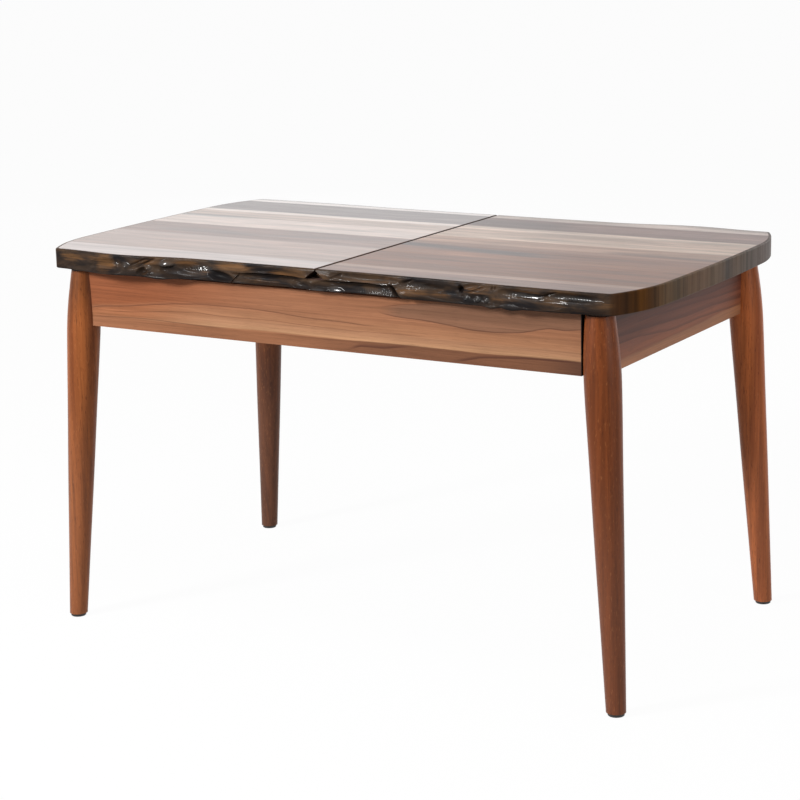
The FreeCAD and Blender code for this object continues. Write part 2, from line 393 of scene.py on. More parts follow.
def end_columns(count):
    """Columns round the whole right end, from the front live edge to the back one."""
    end = bend_run(1, end_middle, end_radius, -end_angle, end_angle, end_step, count)
    return corner_run(-1, count) + end[1:-1] + corner_run(1, count)[::-1]


def round_run(starts):
    """Columns along the front live edge, round the right end and back along the back live edge."""
    front = live_run(-1, starts, nose_middle[0])
    back = live_run(1, starts, nose_middle[0])[::-1]
    return front + end_columns(len(starts)) + back


def cut_levels(low, high, round_low, round_high):
    """Levels from low to high, closer at a rounded edge, and the set-back of that rounding."""
    levels, setback = [], []
    for i in range(round_rows if round_low else 0):
        turn = math.pi / 2 * i / round_rows
        levels.append(low + round_low * (1 - math.cos(turn)))
        setback.append(round_low * (1 - math.sin(turn)))
    for z in np.linspace(low + round_low, high - round_high, wall_rows):
        levels.append(float(z))
        setback.append(0.0)
    for i in range(1, round_rows + 1 if round_high else 0):
        turn = math.pi / 2 * i / round_rows
        levels.append(high - round_high * (1 - math.sin(turn)))
        setback.append(round_high * (1 - math.cos(turn)))
    return levels, setback


def wall(tree, run, levels, cast_low, cast_high):
    """Points of the plain wall, one row of levels for each column, found on the solid."""
    points = np.zeros((len(run), len(levels), 3))
    for i, (places, way) in enumerate(run):
        out = Vector((way[0], way[1], 0))
        for k, z in enumerate(levels):
            x, y = places[k]
            level = min(max(z, cast_low), cast_high)
            start = Vector((x, y, level)) + out * cast_start
            hit = tree.ray_cast(start, -out, cast_length)[0]
            base = hit if hit is not None else Vector((x, y, level))
            points[i, k] = (base.x, base.y, z)
    return points


def carve_wall(points, run, setback, hanging=0.0):
    """Cuts the carving and the rounded edges into a wall, and gives its attributes.
    The wall hangs down below the level hanging, where one is given."""
    place = np.where(points[:, :, 1] < 0, points[:, :, 0], -points[:, :, 0]) / MM
    level = points[:, :, 2] / MM
    depth = carve(place, level)
    ways = np.array([way for places, way in run])
    inward = depth * MM + np.array(setback)[None, :]
    points[:, :, 0] -= ways[:, 0][:, None] * inward
    cut_y = points[:, :, 1] - ways[:, 1][:, None] * inward
    points[:, :, 1] = np.clip(cut_y, cad_box[0][1], cad_box[1][1])
    if hanging:
        share = np.clip((hanging / MM - level) / hang_depth, 0, 1) ** 2
        points[:, :, 2] -= hang(place) * share * MM
    return {
        "carve": np.clip(depth / full_cut, -1, 1),
        "warm": spots(place, level, PATCHES),
        "shine": spots(place, level, SHINES),
        "live": np.clip((live_end - np.abs(place)) / stain_run_out, 0, 1),
    }


def inner_columns(corners, levels):
    """Plain columns for sides that aren't carved; a corner is its places, one for each level."""
    return np.array([[(x, y, z) for (x, y), z in zip(places, levels)] for places in corners])


def ring_mesh(name, points, attributes, top_ring, materials, wall_slots):
    """Closed piece from a ring of columns: walls between neighbours, a flat top and an underside.
    With a top ring the top is slot 0, and the strip along its edge at walls of slot 1 is slot 1."""
    count, height = points.shape[:2]
    verts = [tuple(p) for p in points.reshape(-1, 3)]
    values = {key: list(value.reshape(-1)) for key, value in attributes.items()}
    faces, slots = [], []
    for i in range(count):
        j = (i + 1) % count
        for k in range(height - 1):
            faces.append((i * height + k, j * height + k, j * height + k + 1, i * height + k + 1))
            slots.append(wall_slots[i])
    rim = [i * height + height - 1 for i in range(count)]
    if top_ring:
        middle = points[:, -1].mean(axis=0)
        inner = [len(verts) + i for i in range(count)]
        verts += [tuple(edge + (middle - edge) * top_ring) for edge in points[:, -1]]
        for value in values.values():
            value += [0.0] * count
        for i in range(count):
            j = (i + 1) % count
            faces.append((rim[i], rim[j], inner[j], inner[i]))
            slots.append(1 if wall_slots[i] == 1 else 0)
        rim = inner
    faces.append(rim)
    slots.append(0)
    faces.append([i * height for i in reversed(range(count))])
    slots.append(len(materials) - 1)
    mesh = bpy.data.meshes.new(name)
    mesh.from_pydata(verts, [], faces)
    for key, value in values.items():
        layer = mesh.attributes.new(key, "FLOAT", "POINT")
        layer.data.foreach_set("value", np.array(value, np.float32))
    for material in materials:
        mesh.materials.append(material)
    mesh.polygons.foreach_set("material_index", slots)
    work = bmesh.new()
    work.from_mesh(mesh)
    bmesh.ops.remove_doubles(work, verts=work.verts, dist=weld_distance)
    bmesh.ops.recalc_face_normals(work, faces=work.faces)
    work.to_mesh(mesh)
    work.free()
    mesh.shade_smooth()
    mesh.set_sharp_from_angle(angle=sharp_angle)
    return mesh


def add_piece(mesh, name, body, node, turn=False):
    """Object for a carved piece; the left half is the right half turned round."""
    if turn:
        mesh = mesh.copy()
        mesh.transform(Matrix.Rotation(math.pi, 4, "Z"))
    mesh.name = name
    piece = bpy.data.objects.new(name, mesh)
    bpy.context.scene.collection.objects.link(piece)
    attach(piece, body)
    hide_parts(node)
    return piece


# Materials

def tint(red, green, blue):
    """Colour as seen on a screen, 0 to 255, as linear values."""
    out = []
    for c in (red, green, blue):
        c = c / 255
        out.append(c / 12.92 if c <= 0.04045 else ((c + 0.055) / 1.055) ** 2.4)
    return (*out, 1.0)


def grey(level):
    """Grey of a linear level."""
    return (level, level, level, 1.0)


class Shade:
    """Small helper that builds one material's nodes."""

    def __init__(self, name, roughness=0.5, specular=0.5, coat_roughness=0.1, metallic=0.0):
        self.material = bpy.data.materials.new(name)
        self.material.use_nodes = True
        self.tree = self.material.node_tree
        self.bsdf = self.tree.nodes["Principled BSDF"]
        settings = {"Roughness": roughness, "Specular IOR Level": specular,
                    "Coat Roughness": coat_roughness, "Metallic": metallic}
        for key, value in settings.items():
            self.bsdf.inputs[key].default_value = value
        self.place = self.node("ShaderNodeTexCoord").outputs["Object"]
        parts = self.node("ShaderNodeSeparateXYZ")
        self.put(parts.inputs[0], self.place)
        self.x, self.y, self.z = parts.outputs

    def node(self, kind, **settings):
        made = self.tree.nodes.new(kind)
        for key, value in settings.items():
            setattr(made, key, value)
        return made

    def put(self, socket, value):
        if isinstance(value, bpy.types.NodeSocket):
            self.tree.links.new(value, socket)
        else:
            socket.default_value = value

    def noise(self, scale, offset=(0, 0, 0), detail=3.0, rough=0.55, distortion=0.0):
        """Noise over the place, with its own scale per metre along each axis."""
        stretch = self.node("ShaderNodeMapping")
        self.put(stretch.inputs["Vector"], self.place)
        stretch.inputs["Scale"].default_value = scale
        stretch.inputs["Location"].default_value = offset
        made = self.node("ShaderNodeTexNoise")
        self.put(made.inputs["Vector"], stretch.outputs["Vector"])
        made.inputs["Scale"].default_value = 1.0
        made.inputs["Detail"].default_value = detail
        made.inputs["Roughness"].default_value = rough
        made.inputs["Distortion"].default_value = distortion
        return made.outputs["Fac"]

    def math(self, operation, first, second=0.0, third=0.0):
        made = self.node("ShaderNodeMath", operation=operation)
        for socket, value in zip(made.inputs, (first, second, third)):
            self.put(socket, value)
        return made.outputs[0]

    def plus(self, first, second):
        return self.math("ADD", first, second)

    def minus(self, first, second):
        return self.math("SUBTRACT", first, second)

    def scaled(self, first, second):
        return self.math("MULTIPLY", first, second)

    def rest(self, share):
        """What a share leaves of one."""
        return self.minus(1.0, share)

    def sway(self, fac, amount):
        """A noise about nought, times an amount."""
        return self.scaled(self.minus(fac, 0.5), amount)

    def gloss(self, fac, spread, middle):
        """Roughness that a noise spreads about a middle value."""
        return self.math("MULTIPLY_ADD", fac, spread, middle - spread / 2)

    def ramp(self, fac, stops, interpolation="LINEAR"):
        made = self.node("ShaderNodeValToRGB")
        self.put(made.inputs["Fac"], fac)
        line = made.color_ramp
        line.interpolation = interpolation
        while len(line.elements) < len(stops):
            line.elements.new(1.0)
        for element, (position, colour) in zip(line.elements, stops):
            element.position = position
            element.color = colour
        return made.outputs["Color"]

    def along(self, place, stops, interpolation="LINEAR"):
        """Ramp over a place in metres, with its stops in millimetres."""
        first, last = stops[0][0], stops[-1][0]
        share = self.math("DIVIDE", self.minus(place, first * MM), (last - first) * MM)
        shares = [((p - first) / (last - first), c) for p, c in stops]
        return self.ramp(share, shares, interpolation)

    def shades(self, fac, dark, light, low=0.3, high=0.7):
        """Grey factor between two brightnesses, for multiplying."""
        return self.ramp(fac, [(low, grey(dark)), (high, grey(light))])

    def band(self, fac, low, high):
        """0 on the side of low, 1 on the side of high."""
        made = self.node("ShaderNodeMapRange", interpolation_type="SMOOTHSTEP")
        self.put(made.inputs["Value"], fac)
        made.inputs["From Min"].default_value = low
        made.inputs["From Max"].default_value = high
        return made.outputs["Result"]

    def between(self, place, start, full, fade, end):
        """1 from full to fade, falling to 0 at start and at end, which are in millimetres."""
        rising = self.band(place, start * MM, full * MM)
        return self.scaled(rising, self.rest(self.band(place, fade * MM, end * MM)))

    def mix(self, fac, first, second, blend="MIX"):
        made = self.node("ShaderNodeMix", data_type="RGBA", blend_type=blend)
        self.put(made.inputs["Factor"], fac)
        self.put(made.inputs[6], first)
        self.put(made.inputs[7], second)
        return made.outputs[2]

    def times(self, first, second):
        """Product of two colours."""
        return self.mix(1.0, first, second, "MULTIPLY")

    def attribute(self, name):
        return self.node("ShaderNodeAttribute", attribute_name=name).outputs["Fac"]

    def coat(self, weight):
        self.put(self.bsdf.inputs["Coat Weight"], weight)

    def finish(self, colour, roughness, height, strength, distance):
        self.put(self.bsdf.inputs["Base Color"], colour)
        self.put(self.bsdf.inputs["Roughness"], roughness)
        bump = self.node("ShaderNodeBump")
        bump.inputs["Strength"].default_value = strength
        bump.inputs["Distance"].default_value = distance
        self.put(bump.inputs["Height"], height)
        self.put(self.bsdf.inputs["Normal"], bump.outputs["Normal"])
        return self.material


def grain_scale(axis, along, over):
    """Stretch for grain that runs along one axis, per metre."""
    return tuple(along if i == "XYZ".index(axis) else over for i in range(3))


def grain(shade, axis, seed, colour, streak, pore_depth=0.35):
    """Shades a colour with broad streaks, fine fibres and short pores along one axis."""
    shift = (seed, seed * 1.7, seed * 0.6)
    broad = shade.noise(grain_scale(axis, 1.3, 26), shift, 4, 0.6, 0.6)
    fibre = shade.noise(grain_scale(axis, 7, 420), shift, 2, 0.6)
    pores = shade.noise(grain_scale(axis, 34, 900), shift, 1, 0.5)
    wide = [(0.28, grey(1 - streak)), (0.5, grey(1.0)), (0.74, grey(1 + 0.55 * streak))]
    colour = shade.times(colour, shade.ramp(broad, wide))
    colour = shade.times(colour, shade.shades(fibre, 0.86, 1.1))
    dashes = shade.band(pores, 0.6, 0.7)
    colour = shade.mix(shade.scaled(dashes, pore_depth), colour, tint(38, 24, 18))
    return colour, fibre, dashes


def top_material(name, stops, seed, streaks, lacquer=None):
    """Planks side by side along X: a colour from each Y place to the next, grain, soft dark streaks
    and figure lines. A streak is its first and last X, its Y at X nought, slope, half width and
    strength. Lacquer is the share of clear gloss from each of the same places to the next."""
    roughness = 0.36
    shade = Shade(name, roughness=roughness, coat_roughness=0.3)
    wander = shade.noise((1.6, 1, 1), detail=2)
    over = shade.plus(shade.y, shade.sway(wander, 0.012))
    drift = shade.plus(shade.y, shade.sway(wander, 0.03))
    planks = shade.along(over, stops, "CONSTANT")
    colour, fibre, dashes = grain(shade, "X", seed, planks, 0.3, 0.3)
    flow = shade.noise((4.5, 55, 55), (seed, 2, 0), 5, 0.7, 0.4)
    colour = shade.times(colour, shade.shades(flow, 0.68, 1.24, 0.34, 0.66))
    if lacquer:
        sheen = [(place, grey(share)) for (place, _), share in zip(stops, lacquer)]
        lively = shade.shades(flow, 0.84, 1.12, 0.34, 0.66)
        shade.coat(shade.times(shade.along(over, sheen, "CONSTANT"), lively))
    for first, last, start, slope, width, strength in streaks:
        middle = shade.math("MULTIPLY_ADD", shade.x, slope, start * MM)
        off = shade.math("ABSOLUTE", shade.minus(drift, middle))
        reach = shade.rest(shade.band(off, 0.2 * width * MM, width * MM))
        ends = shade.between(shade.x, first - 60, first, last, last + 120)
        dark = shade.scaled(shade.scaled(reach, ends), strength)
        colour = shade.mix(dark, colour, tint(62, 48, 46))
    rings = shade.noise((0.7, 8, 8), (seed, 0, 0), 2, 0.5, 0.5)
    lines = shade.math("SINE", shade.scaled(rings, 70.0))
    figure = shade.times(colour, shade.shades(lines, 0.84, 1.05, 0.0, 1.0))
    colour = shade.mix(0.8, colour, figure)
    gloss = shade.gloss(fibre, 0.14, roughness)
    return shade.finish(colour, gloss, shade.minus(fibre, dashes), 0.12, 0.0006)


def edge_material(name, end_stops):
    """Carved wall: burnt dark wood with worn warm patches, painted shade in the deep cuts and on
    the undercut foot; it runs into plank ends, coloured by Y place, at the rounded ends."""
    shade = Shade(name, specular=0.03, coat_roughness=0.12)
    cut = shade.attribute("carve")
    worn = shade.attribute("warm")
    shine = shade.attribute("shine")
    live = shade.attribute("live")
    mottle = shade.noise((13, 13, 34), detail=4, rough=0.6, distortion=0.5)
    streak = shade.noise((11, 11, 230), (2.3, 0, 0), 4, 0.65, 0.3)
    ragged = shade.plus(shade.sway(mottle, 0.8), shade.sway(streak, 1.5))
    patch = shade.band(shade.plus(worn, ragged), 0.2, 0.95)
    dark = shade.mix(shade.band(mottle, 0.32, 0.66), tint(29, 27, 28), tint(74, 57, 43))
    brown = shade.mix(shade.band(streak, 0.3, 0.7), tint(76, 55, 37), tint(112, 79, 50))
    colour = shade.mix(patch, dark, brown)
    # Painted shade: the colour darkens where the carving cuts deep, in the hollows, nicks and gaps.
    deep = shade.scaled(shade.band(cut, 0.3, 1.0), 0.7)
    colour = shade.mix(deep, colour, tint(20, 17, 16))
    # Painted shade: the undercut foot of the edge darkens downwards, where it faces down and lies
    # in shade.
    foot = shade.band(shade.plus(shade.z, shade.sway(mottle, 0.02)), 0.733, 0.712)
    colour = shade.mix(shade.scaled(foot, 0.7), colour, tint(24, 21, 22))
    stripes = shade.noise((3, 85, 2), detail=4, rough=0.7)
    light_and_dark = shade.shades(stripes, 0.66, 1.28, 0.36, 0.64)
    ends = shade.times(shade.along(shade.y, end_stops), light_and_dark)
    colour = shade.mix(live, ends, colour)
    shade.coat(shade.math("MULTIPLY_ADD", shade.scaled(shine, live), 0.95, 0.02))
    gloss = shade.gloss(mottle, 0.25, 0.425)
    return shade.finish(colour, gloss, shade.plus(streak, mottle), 0.12, 0.0006)


top_right_wood = top_material(
    "top_wood_right",
    [(-380, tint(120, 92, 82)), (-298, tint(152, 122, 106)), (-279, tint(111, 69, 46)),
     (-128, tint(127, 84, 60)), (-82, tint(114, 76, 58)), (-22, tint(133, 98, 80)),
     (8, tint(159, 125, 106)), (70, tint(192, 167, 150)), (118, tint(183, 157, 141)),
     (172, tint(197, 175, 160)), (203, tint(122, 96, 89)), (309, tint(187, 170, 162)),
     (380, tint(187, 170, 162))],
    2.0,
    [(0, 260, -36, -0.1, 32, 0.95),
     (440, 620, 40, -0.055, 16, 0.6),
     (-20, 150, 252, 0.0, 70, 0.75)])
top_left_wood = top_material(
    "top_wood_left",
    [(-380, tint(128, 100, 90)), (-282, tint(118, 77, 55)), (-112, tint(104, 68, 54)),
     (8, tint(168, 136, 118)), (112, tint(168, 140, 124)), (180, tint(190, 166, 152)),
     (202, tint(105, 91, 90)), (322, tint(187, 171, 164)), (380, tint(187, 170, 162))],
    9.0,
    [(-640, -520, 114, 0.0, 20, 0.8),
     (-530, -380, -66, 0.0, 26, 0.6),
     (-260, -140, -24, 0.115, 18, 0.6)],
    [0.96, 0.66, 0.36, 0.8, 0.45, 0.85, 0.28, 0.97, 0.97])
edge_wood = edge_material(
    "edge_wood_carved",
    [(-380, tint(74, 46, 24)), (-346, tint(70, 44, 24)), (-330, tint(54, 34, 19)),
     (-292, tint(90, 55, 19)), (-264, tint(76, 50, 28)), (-225, tint(95, 71, 47)),
     (-180, tint(80, 63, 46)), (-120, tint(102, 78, 59)), (-60, tint(105, 82, 65)),
     (-30, tint(95, 77, 61)), (10, tint(107, 88, 73)), (38, tint(74, 65, 60)),
     (84, tint(106, 87, 73)), (140, tint(92, 81, 73)), (240, tint(110, 98, 93)),
     (380, tint(114, 106, 102))])


def plain_wood(name, axis, colour, seed, roughness, specular=0.3):
    """Wood of one colour, with its grain along one axis."""
    shade = Shade(name, roughness=roughness, specular=specular)
    colour, fibre, dashes = grain(shade, axis, seed, colour, 0.3)
    gloss = shade.gloss(fibre, 0.14, roughness)
    return shade.finish(colour, gloss, shade.minus(fibre, dashes), 0.15, 0.0006)


under_wood = plain_wood("board_underside", "X", tint(120, 88, 66), 4.0, 0.55)
seam_wood = plain_wood("seam_dark_wood", "Y", tint(58, 40, 32), 5.0, 0.6, 0.1)
inner_wood = plain_wood("inner_wood", "Y", tint(168, 126, 84), 6.0, 0.6)
inner_wood_x = plain_wood("inner_wood_long", "X", tint(168, 126, 84), 7.0, 0.6)
top_finishes = [top_right_wood, edge_wood, seam_wood, under_wood]
rim_finishes = [edge_wood, seam_wood]


def vein(shade, along, rise, points):
    """How far a place lies above a grain line through points of place and level in mm."""
    low, high = 590, 710
    shares = [(place, grey((level - low) / (high - low))) for place, level in points]
    line = shade.along(along, shares, "CARDINAL")
    return shade.minus(rise, shade.math("MULTIPLY_ADD", line, (high - low) * MM, low * MM))


def vein_line(shade, above, width):
    """Thin line where a place lies on a vein, soft on its upper side."""
    lower = shade.band(above, -0.5 * width * MM, 0.0)
    upper = shade.rest(shade.band(above, 0.0, 2.2 * width * MM))
    return shade.scaled(lower, upper)


def veneer(name, axis, seed, bands, lines, fields, gap_shade_start=None, ink=tint(80, 47, 37)):
    """Apron veneer: bands of colour up the height, fields of another colour, grain and dark veins.
    A line is a vein with its first and last place, width and strength. A field lies below one vein,
    and above another where one is given; it comes in from its first place to its last, over a soft
    rim, in its tint and strength. From the gap shade start on, the face is painted dark: painted
    shade that widens the shadow gap at the end of the piece."""
    shade = Shade(name, roughness=0.4, specular=0.12)
    along = {"X": shade.x, "Y": shade.y}[axis]
    waver = shade.noise(grain_scale(axis, 4, 20), (seed, 1, 0), 3, 0.6)
    rise = shade.plus(shade.z, shade.sway(waver, 0.007))
    colour = shade.along(rise, bands, "EASE")
    for upper, lower, first, last, soft, field_tint, strength in fields:
        rim = soft * MM
        reach = shade.rest(shade.band(vein(shade, along, rise, upper), -rim, rim))
        if lower:
            reach = shade.scaled(reach, shade.band(vein(shade, along, rise, lower), -rim, rim))
        inside = shade.scaled(shade.band(along, first * MM, last * MM), strength)
        colour = shade.mix(shade.scaled(reach, inside), colour, field_tint)
    colour, fibre, dashes = grain(shade, axis, seed, colour, 0.16, 0.2)
    threads = shade.noise(grain_scale(axis, 1.8, 150), (seed, 0, 4), 3, 0.65)
    colour = shade.times(colour, shade.shades(threads, 0.84, 1.08, 0.32, 0.6))
    for points, first, last, width, strength in lines:
        mark = vein_line(shade, vein(shade, along, rise, points), width)
        ends = shade.between(along, first, first + 40, last - 60, last)
        colour = shade.mix(shade.scaled(shade.scaled(mark, ends), strength), colour, ink)
    # Painted shade: past its start the face is painted near black, to widen the shadow gap at the
    # end.
    if gap_shade_start is not None:
        gap = shade.band(along, gap_shade_start - 0.4 * MM, gap_shade_start + 0.4 * MM)
        colour = shade.mix(gap, colour, tint(14, 10, 9))
    gloss = shade.gloss(fibre, 0.16, 0.42)
    return shade.finish(colour, gloss, shade.minus(fibre, dashes), 0.12, 0.0006)


# Veins of the long aprons: place along X and level (mm)
TONGUE = [(60, 694), (112, 687), (124, 678), (152, 673), (230, 669), (277, 664), (327, 660),
          (409, 665), (457, 675), (498, 675), (540, 680)]
TIP = [(60, 680), (112, 682), (125, 688), (177, 696), (260, 706), (300, 712), (560, 716)]
CEILING = [(-560, 720), (560, 720)]
RED = [(-560, 632), (-514, 637), (-397, 649), (-292, 660), (-231, 661), (-148, 661), (-93, 658),
       (-38, 654), (55, 653), (140, 649)]
STRIP = [(-560, 618), (-379, 623), (-286, 620), (-139, 618), (35, 619), (175, 622), (343, 620),
         (560, 622)]
LONG_BANDS = [
    (598, tint(156, 106, 76)), (619, tint(157, 106, 75)), (623, tint(182, 136, 101)),
    (634, tint(173, 126, 94)), (644, tint(166, 117, 85)), (668, tint(160, 109, 79)),
    (706, tint(157, 105, 75))]
LONG_LINES = [
    (RED, -560, 130, 1.4, 0.6),
    ([(-560, 626), (-478, 630), (-300, 644), (-224, 642), (-112, 642), (-39, 640), (54, 639),
      (240, 640)], -500, 230, 1.0, 0.45),
    ([(-560, 617), (-511, 619), (-379, 623), (-286, 620), (-187, 620)], -540, -190, 1.4, 0.55),
    (TONGUE, 112, 560, 1.5, 0.6),
    ([(110, 690), (125, 688), (177, 696), (260, 698)], 112, 250, 1.2, 0.45),
    ([(40, 600), (56, 604), (81, 612), (140, 614), (202, 622)], 45, 205, 3.0, 0.75),
    ([(260, 598), (276, 602), (326, 612), (424, 618), (540, 620)], 262, 545, 3.0, 0.75),
    (STRIP, -120, 560, 1.0, 0.5)]
LONG_FIELDS = [
    (RED, STRIP, -220, -440, 4.0, tint(157, 98, 65), 0.85),
    (CEILING, RED, -60, -420, 10.0, tint(139, 79, 49), 0.9),
    (STRIP, None, -160, 160, 1.0, tint(60, 42, 36), 0.93),
    (STRIP, None, -560, -500, 1.0, tint(152, 100, 70), 0.5),
    (STRIP, None, 430, 540, 1.0, tint(74, 48, 39), 0.6),
    (TIP, TONGUE, 112, 170, 2.0, tint(133, 96, 75), 0.78)]

# The front apron's face ends before its tongue; from just inside that end the face is painted dark,
# as painted shade that widens the shadow gap
face_skin = 0.1 * MM
gap_shade_reach = 2 * MM
apron_face_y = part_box("apron_front")[0].y
apron_face = [v.co for v in nodes["apron_front"].data.vertices if v.co.y < apron_face_y + face_skin]
gap_shade_x = max(point.x for point in apron_face) - gap_shade_reach
long_look = (LONG_BANDS, LONG_LINES, LONG_FIELDS)
front_veneer = veneer("apron_veneer_front", "X", 3.0, *long_look, gap_shade_x)
back_veneer = veneer("apron_veneer_back", "X", 3.0, *long_look)

# Veins of the end aprons: place along Y and level (mm)
LOWER = [(-330, 614), (-50, 615), (162, 617), (330, 620)]
END_BANDS = [
    (598, tint(146, 101, 72)), (613, tint(144, 97, 69)), (619, tint(139, 83, 57)),
    (640, tint(121, 71, 52)), (660, tint(99, 55, 40)), (690, tint(77, 38, 25)),
    (706, tint(73, 35, 22))]
END_LINES = [
    ([(-330, 660), (-250, 657), (-141, 651), (1, 642), (162, 639), (330, 630)],
     -330, 330, 5.0, 0.5),
    ([(-330, 648), (-250, 645), (-160, 640), (-51, 628), (107, 625), (330, 616)],
     -330, 330, 3.0, 0.45),
    ([(-330, 690), (-120, 680), (90, 668), (330, 664)], -330, 330, 4.0, 0.4),
    ([(-330, 672), (-60, 664), (140, 655), (330, 646)], -200, 330, 3.0, 0.4)]
END_FIELDS = [(LOWER, None, -400, -390, 2.0, tint(170, 114, 80), 0.8)]
end_veneer = veneer("apron_veneer_end", "Y", 8.0, END_BANDS, END_LINES, END_FIELDS,
                    ink=tint(54, 29, 23))


def leg_material(name, seed, light, dark, crown_light_and_shade):
    """Stained beech: long vertical shading, dark growth lines, short pale flecks and dark dashes.
    Painted light from the white floor makes it paler towards the foot, and crown_light_and_shade is
    the painted light and shade at the top."""
    shade = Shade(name, roughness=0.36, specular=0.14)
    sweep = shade.noise((34, 34, 1.5), (seed, seed, 0), 3, 0.55, 0.3)
    colour = shade.ramp(sweep, [(0.3, dark), (0.5, light), (0.75, light)])
    lines = shade.noise((150, 150, 2.2), (seed, 0, 0), 3, 0.6)
    colour = shade.times(colour, shade.shades(lines, 0.8, 1.08, 0.35, 0.6))
    fibre = shade.noise((420, 420, 8), (0, seed, 0), 2, 0.6)
    colour = shade.times(colour, shade.shades(fibre, 0.88, 1.1))
    fleck = shade.noise((420, 420, 90), (seed, 0, seed), 1, 0.5)
    pale = shade.scaled(shade.band(fleck, 0.62, 0.74), 0.18)
    colour = shade.mix(pale, colour, tint(196, 126, 78))
    dash = shade.noise((640, 640, 60), (0, seed, seed), 1, 0.5)
    deep = shade.scaled(shade.band(dash, 0.62, 0.72), 0.45)
    colour = shade.mix(deep, colour, tint(66, 30, 16))
    # Painted light and shade at the top of the leg: darker in the table top's shade, lighter where
    # lit.
    colour = shade.times(colour, shade.shades(shade.z, 1.0, crown_light_and_shade, 0.6, 0.68))
    # Painted light: towards the foot the leg is mixed with a pale grey, as light from the white
    # floor.
    painted_floor_light = shade.scaled(shade.band(shade.z, 0.52, 0.2), 0.085)
    colour = shade.mix(painted_floor_light, colour, tint(140, 132, 126))
    return shade.finish(colour, shade.gloss(fibre, 0.14, 0.37), fibre, 0.1, 0.0005)


# Stain of each leg with painted light and shade: seed, light and dark colour, which are partly the
# leg's own tone and partly painted light and shade for how brightly each leg is lit, and the
# painted light and shade at the crown
LEG_STAINS_AND_LIGHT = {
    "front_left": (1.0, tint(153, 87, 45), tint(119, 63, 31), 0.6),
    "front_right": (3.0, tint(119, 61, 29), tint(91, 45, 21), 1.12),
    "back_right": (5.0, tint(180, 99, 53), tint(142, 73, 39), 0.78),
    "back_left": (7.0, tint(110, 64, 40), tint(84, 48, 32), 0.9),
}
leg_woods = {leg: leg_material("leg_wood_" + leg, *leg_look) for leg, leg_look in LEG_STAINS_AND_LIGHT.items()}


def metal(name, colour, roughness, axis, seed):
    """Drawn or plated metal with fine lines along one axis."""
    shade = Shade(name, roughness=roughness, metallic=1.0)
    lines = shade.noise(grain_scale(axis, 6, 900), (seed, 0, 0), 3, 0.6)
    blotch = shade.noise((40, 40, 40), (seed, 0, 0), 3)
    tone = shade.times(colour, shade.shades(lines, 0.86, 1.06, 0.2, 0.8))
    return shade.finish(tone, shade.gloss(blotch, 0.2, roughness), lines, 0.05, 0.0003)


def moulded(name, colour, roughness, scale):
    """Plastic or felt with a fine speck."""
    shade = Shade(name, roughness=roughness)
    speck = shade.noise((scale, scale, scale), detail=3)
    tone = shade.times(colour, shade.shades(speck, 0.85, 1.12))
    return shade.finish(tone, shade.gloss(speck, 0.2, roughness), speck, 0.25, 0.0004)


aluminium = metal("rail_aluminium", tint(196, 197, 200), 0.34, "X", 1.0)
steel = metal("zinc_steel", tint(176, 174, 166), 0.38, "Z", 2.0)
nylon = moulded("runner_nylon", tint(226, 224, 214), 0.45, 700)
glide_black = moulded("glide_black", tint(26, 25, 24), 0.5, 900)
felt = moulded("pad_felt", tint(92, 84, 76), 0.95, 1600)


# Carved top

def half_top():
    """Meshes of the right half: the board and its three rim strips, by node name."""
    meshes = {}
    levels, setback = cut_levels(board_level, top_level, 0.0, edge_round)
    starts = undercut(seam_x, levels, top_level, seam_lean) + np.array(setback)
    run = round_run(starts)
    cast = (board_level + cast_margin, top_level - cast_top_margin)
    points = wall(cad_tree("board_right"), run, levels, *cast)
    attributes = carve_wall(points, run, setback)
    for column in (0, -1):
        points[column, :, 0] = starts
    slots = [1] * (len(run) - 1) + [2]
    meshes["board"] = ring_mesh("board", points, attributes, board_ring, top_finishes, slots)

    levels, setback = cut_levels(rim_level, board_level, low_round, 0.0)
    count = len(levels)
    starts = undercut(rim_start_x, levels, board_level)
    cast = (rim_level + cast_margin, board_level - cast_margin)
    for name, row in (("rim_front", -1), ("rim_back", 1)):
        run = live_run(row, starts, end_rim_x)
        points = wall(cad_tree(name + "_right"), run, levels, *cast)
        attributes = carve_wall(points, run, setback, board_level)
        points[0, :, 0] = starts
        points[-1, :, 0] = end_rim_x
        inner = inner_columns([[(end_rim_x, row * rim_inner_y)] * count,
                               [(x, row * rim_inner_y) for x in starts]], levels)
        points = np.concatenate([points, inner])
        plain = np.zeros((len(inner), count))
        attributes = {k: np.concatenate([v, plain]) for k, v in attributes.items()}
        slots = [0] * (len(run) - 1) + [1, 1, 1]
        meshes[name] = ring_mesh(name, points, attributes, 0, rim_finishes, slots)

    run = round_run([end_rim_x] * count)
    points = wall(cad_tree("rim_end_right"), run, levels, *cast)
    attributes = carve_wall(points, run, setback, board_level)
    for column in (0, -1):
        points[column, :, 0] = end_rim_x
    slots = [0] * (len(run) - 1) + [1]
    meshes["rim_end"] = ring_mesh("rim_end", points, attributes, 0, rim_finishes, slots)
    return meshes


